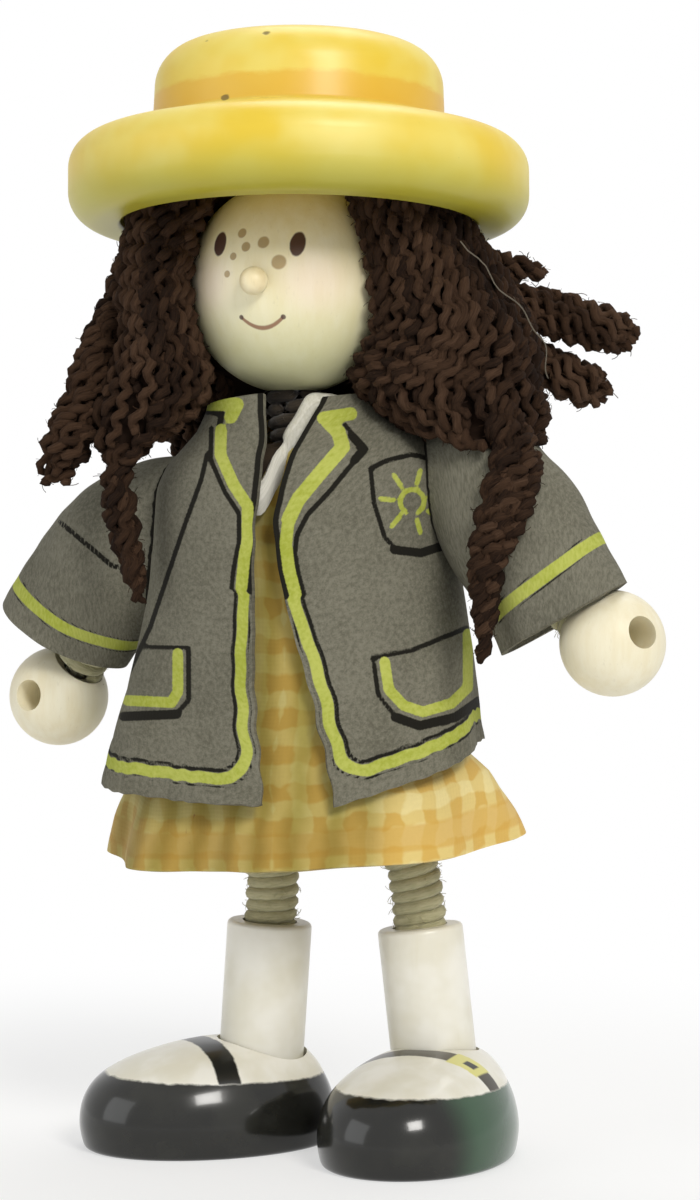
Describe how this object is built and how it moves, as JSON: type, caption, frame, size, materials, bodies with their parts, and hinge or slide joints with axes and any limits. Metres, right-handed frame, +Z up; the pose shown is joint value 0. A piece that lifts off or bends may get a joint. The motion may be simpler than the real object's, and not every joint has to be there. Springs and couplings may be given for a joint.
{
  "type": "bendy doll",
  "caption": "Small wooden doll in a brimmed hat, school jacket and checked dress, with bendable corded arms and legs and bead hands.",
  "frame": {"origin": "middle of the doll's bounding box, on the ground under the soles", "axes": "+Z up; the doll faces -Y; its own right side is at -X"},
  "size_m": [0.0666, 0.0428, 0.104],
  "materials": {
    "bare_wood": "smooth bare wood, lightly sealed",
    "black_gloss_paint": "black gloss paint with white and green areas",
    "dark_yarn": "dark brown plied yarn",
    "gingham_cotton": "printed yellow check cotton",
    "grey_cotton": "grey cotton with printed trim",
    "white_binding": "white woven tape",
    "white_paint": "white satin paint",
    "wire_steel": "bare soft wire",
    "wound_cord": "wound beige cotton cord",
    "yellow_paint": "yellow gloss paint"
  },
  "bodies": {
    "torso": {"torso_core": "bare_wood", "neck_wire_lower": "wire_steel", "right_arm_wire_root": "wire_steel", "left_arm_wire_root": "wire_steel", "right_leg_wire_root": "wire_steel", "left_leg_wire_root": "wire_steel", "dress": "gingham_cotton", "neckline_binding": "white_binding", "jacket_body": "grey_cotton"},
    "neck_bend": {"neck_wire_bend": "wire_steel"},
    "neck_cord": {"neck_winding": "wound_cord"},
    "head": {"neck_wire_upper": "wire_steel", "head_ball": "bare_wood", "nose": "bare_wood", "hat": "yellow_paint", "hair_back": "dark_yarn", "hair_left": "dark_yarn", "hair_left_strand": "dark_yarn", "hair_left_tuft_lower": "dark_yarn", "hair_left_tuft_middle": "dark_yarn", "hair_left_tuft_upper": "dark_yarn", "hair_right": "dark_yarn", "hair_right_outer_lock": "dark_yarn", "hair_right_strand": "dark_yarn"},
    "right_shoulder": {"right_arm_wire_bend": "wire_steel", "right_arm_winding": "wound_cord"},
    "right_upper_arm": {"right_upper_arm_wire": "wire_steel", "right_sleeve": "grey_cotton"},
    "right_forearm": {"right_forearm_wire": "wire_steel", "right_hand": "bare_wood"},
    "right_hip": {"right_leg_wire_bend": "wire_steel", "right_leg_winding": "wound_cord"},
    "right_thigh": {"right_thigh_wire": "wire_steel"},
    "right_lower_leg": {"right_shin_wire": "wire_steel", "right_shin": "white_paint", "right_shoe": "black_gloss_paint"},
    "left_shoulder": {"left_arm_wire_bend": "wire_steel", "left_arm_winding": "wound_cord"},
    "left_upper_arm": {"left_upper_arm_wire": "wire_steel", "left_sleeve": "grey_cotton"},
    "left_forearm": {"left_forearm_wire": "wire_steel", "left_hand": "bare_wood"},
    "left_hip": {"left_leg_wire_bend": "wire_steel", "left_leg_winding": "wound_cord"},
    "left_thigh": {"left_thigh_wire": "wire_steel"},
    "left_lower_leg": {"left_shin_wire": "wire_steel", "left_shin": "white_paint", "left_shoe": "black_gloss_paint"}
  },
  "joints": [
    {"name": "neck_nod", "type": "hinge", "parent": "torso", "child": "neck_bend", "pos_m": [-0.00264, -0.00038, 0.06943], "axis": [1, 0, 0], "range_deg": [-15, 18], "deforming": ["neck_winding", "jacket_body", "neckline_binding", "hair_back", "hair_left", "hair_left_strand", "hair_left_tuft_lower", "hair_left_tuft_middle", "hair_left_tuft_upper", "hair_right", "hair_right_outer_lock", "hair_right_strand", "left_sleeve", "right_sleeve"]},
    {"name": "neck_tilt", "type": "hinge", "parent": "neck_bend", "child": "neck_cord", "pos_m": [-0.00264, -0.00038, 0.06943], "axis": [0, 1, 0], "range_deg": [-15, 15], "deforming": ["neck_winding", "jacket_body", "neckline_binding", "hair_back", "hair_left", "hair_left_strand", "hair_left_tuft_lower", "hair_left_tuft_middle", "hair_left_tuft_upper", "hair_right", "hair_right_outer_lock", "hair_right_strand", "left_sleeve", "right_sleeve"]},
    {"name": "head_turn", "type": "hinge", "parent": "neck_cord", "child": "head", "pos_m": [-0.00264, -0.00038, 0.08073], "axis": [0, 0, 1], "range_deg": [-45, 45], "deforming": ["jacket_body", "neckline_binding", "hair_back", "hair_left", "hair_left_strand", "hair_left_tuft_lower", "hair_left_tuft_middle", "hair_left_tuft_upper", "hair_right", "hair_right_outer_lock", "hair_right_strand", "left_sleeve", "right_sleeve"]},
    {"name": "right_shoulder_swing", "type": "hinge", "parent": "torso", "child": "right_shoulder", "pos_m": [-0.01341, -0.00014, 0.06026], "axis": [-1, 0, 0], "range_deg": [-26, 109], "deforming": ["right_arm_winding", "right_sleeve", "jacket_body", "dress", "hair_back", "hair_left", "hair_left_strand", "hair_left_tuft_lower", "hair_left_tuft_middle", "hair_left_tuft_upper", "hair_right", "hair_right_outer_lock", "hair_right_strand"]},
    {"name": "right_shoulder_raise", "type": "hinge", "parent": "right_shoulder", "child": "right_upper_arm", "pos_m": [-0.01341, -0.00014, 0.06026], "axis": [0, 0.9444, 0.3289], "range_deg": [-11, 54], "deforming": ["right_arm_winding", "right_sleeve", "jacket_body", "dress", "hair_back", "hair_left", "hair_left_strand", "hair_left_tuft_lower", "hair_left_tuft_middle", "hair_left_tuft_upper", "hair_right", "hair_right_outer_lock", "hair_right_strand"]},
    {"name": "right_elbow_bend", "type": "hinge", "parent": "right_upper_arm", "child": "right_forearm", "pos_m": [-0.01951, 0.00259, 0.05242], "axis": [-0.8059, -0.1947, 0.5591], "range_deg": [0, 70], "deforming": ["right_arm_winding", "right_sleeve", "jacket_body", "dress", "hair_back", "hair_left", "hair_left_strand", "hair_left_tuft_lower", "hair_left_tuft_middle", "hair_left_tuft_upper", "hair_right", "hair_right_outer_lock", "hair_right_strand"]},
    {"name": "right_hip_swing", "type": "hinge", "parent": "torso", "child": "right_hip", "pos_m": [-0.00519, 0.00051, 0.03544], "axis": [-1, 0, 0], "range_deg": [-30, 75], "deforming": ["right_leg_winding", "dress", "jacket_body"]},
    {"name": "right_hip_spread", "type": "hinge", "parent": "right_hip", "child": "right_thigh", "pos_m": [-0.00519, 0.00051, 0.03544], "axis": [0, 0.9983, 0.059], "range_deg": [0, 30], "deforming": ["right_leg_winding", "dress", "jacket_body"]},
    {"name": "right_knee_bend", "type": "hinge", "parent": "right_thigh", "child": "right_lower_leg", "pos_m": [-0.00507, 0.00109, 0.02554], "axis": [0.9999, -0.0007, 0.0121], "range_deg": [0, 80], "deforming": ["right_leg_winding", "dress", "jacket_body"]},
    {"name": "left_shoulder_swing", "type": "hinge", "parent": "torso", "child": "left_shoulder", "pos_m": [0.00969, -0.0002, 0.06248], "axis": [-1, 0, 0], "range_deg": [-69, 66], "deforming": ["left_arm_winding", "left_sleeve", "jacket_body", "dress", "hair_back", "hair_left", "hair_left_strand", "hair_left_tuft_lower", "hair_left_tuft_middle", "hair_left_tuft_upper", "hair_right", "hair_right_outer_lock", "hair_right_strand"]},
    {"name": "left_shoulder_raise", "type": "hinge", "parent": "left_shoulder", "child": "left_upper_arm", "pos_m": [0.00969, -0.0002, 0.06248], "axis": [0, -0.9128, 0.4083], "range_deg": [-25, 40], "deforming": ["left_arm_winding", "left_sleeve", "jacket_body", "dress", "hair_back", "hair_left", "hair_left_strand", "hair_left_tuft_lower", "hair_left_tuft_middle", "hair_left_tuft_upper", "hair_right", "hair_right_outer_lock", "hair_right_strand"]},
    {"name": "left_elbow_bend", "type": "hinge", "parent": "left_upper_arm", "child": "left_forearm", "pos_m": [0.0176, -0.0029, 0.05647], "axis": [-0.6401, -0.3137, -0.7013], "range_deg": [0, 70], "deforming": ["left_arm_winding", "left_sleeve", "jacket_body", "dress", "hair_back", "hair_left", "hair_left_strand", "hair_left_tuft_lower", "hair_left_tuft_middle", "hair_left_tuft_upper", "hair_right", "hair_right_outer_lock", "hair_right_strand"]},
    {"name": "left_hip_swing", "type": "hinge", "parent": "torso", "child": "left_hip", "pos_m": [0.00636, 0.00048, 0.03656], "axis": [-1, 0, 0], "range_deg": [-30, 75], "deforming": ["left_leg_winding", "dress", "jacket_body"]},
    {"name": "left_hip_spread", "type": "hinge", "parent": "left_hip", "child": "left_thigh", "pos_m": [0.00636, 0.00048, 0.03656], "axis": [0, -0.9966, -0.082], "range_deg": [0, 30], "deforming": ["left_leg_winding", "dress", "jacket_body"]},
    {"name": "left_knee_bend", "type": "hinge", "parent": "left_thigh", "child": "left_lower_leg", "pos_m": [0.00858, 0.00139, 0.02544], "axis": [0.9807, -0.016, 0.1948], "range_deg": [0, 80], "deforming": ["left_leg_winding", "dress", "jacket_body"]}
  ]
}
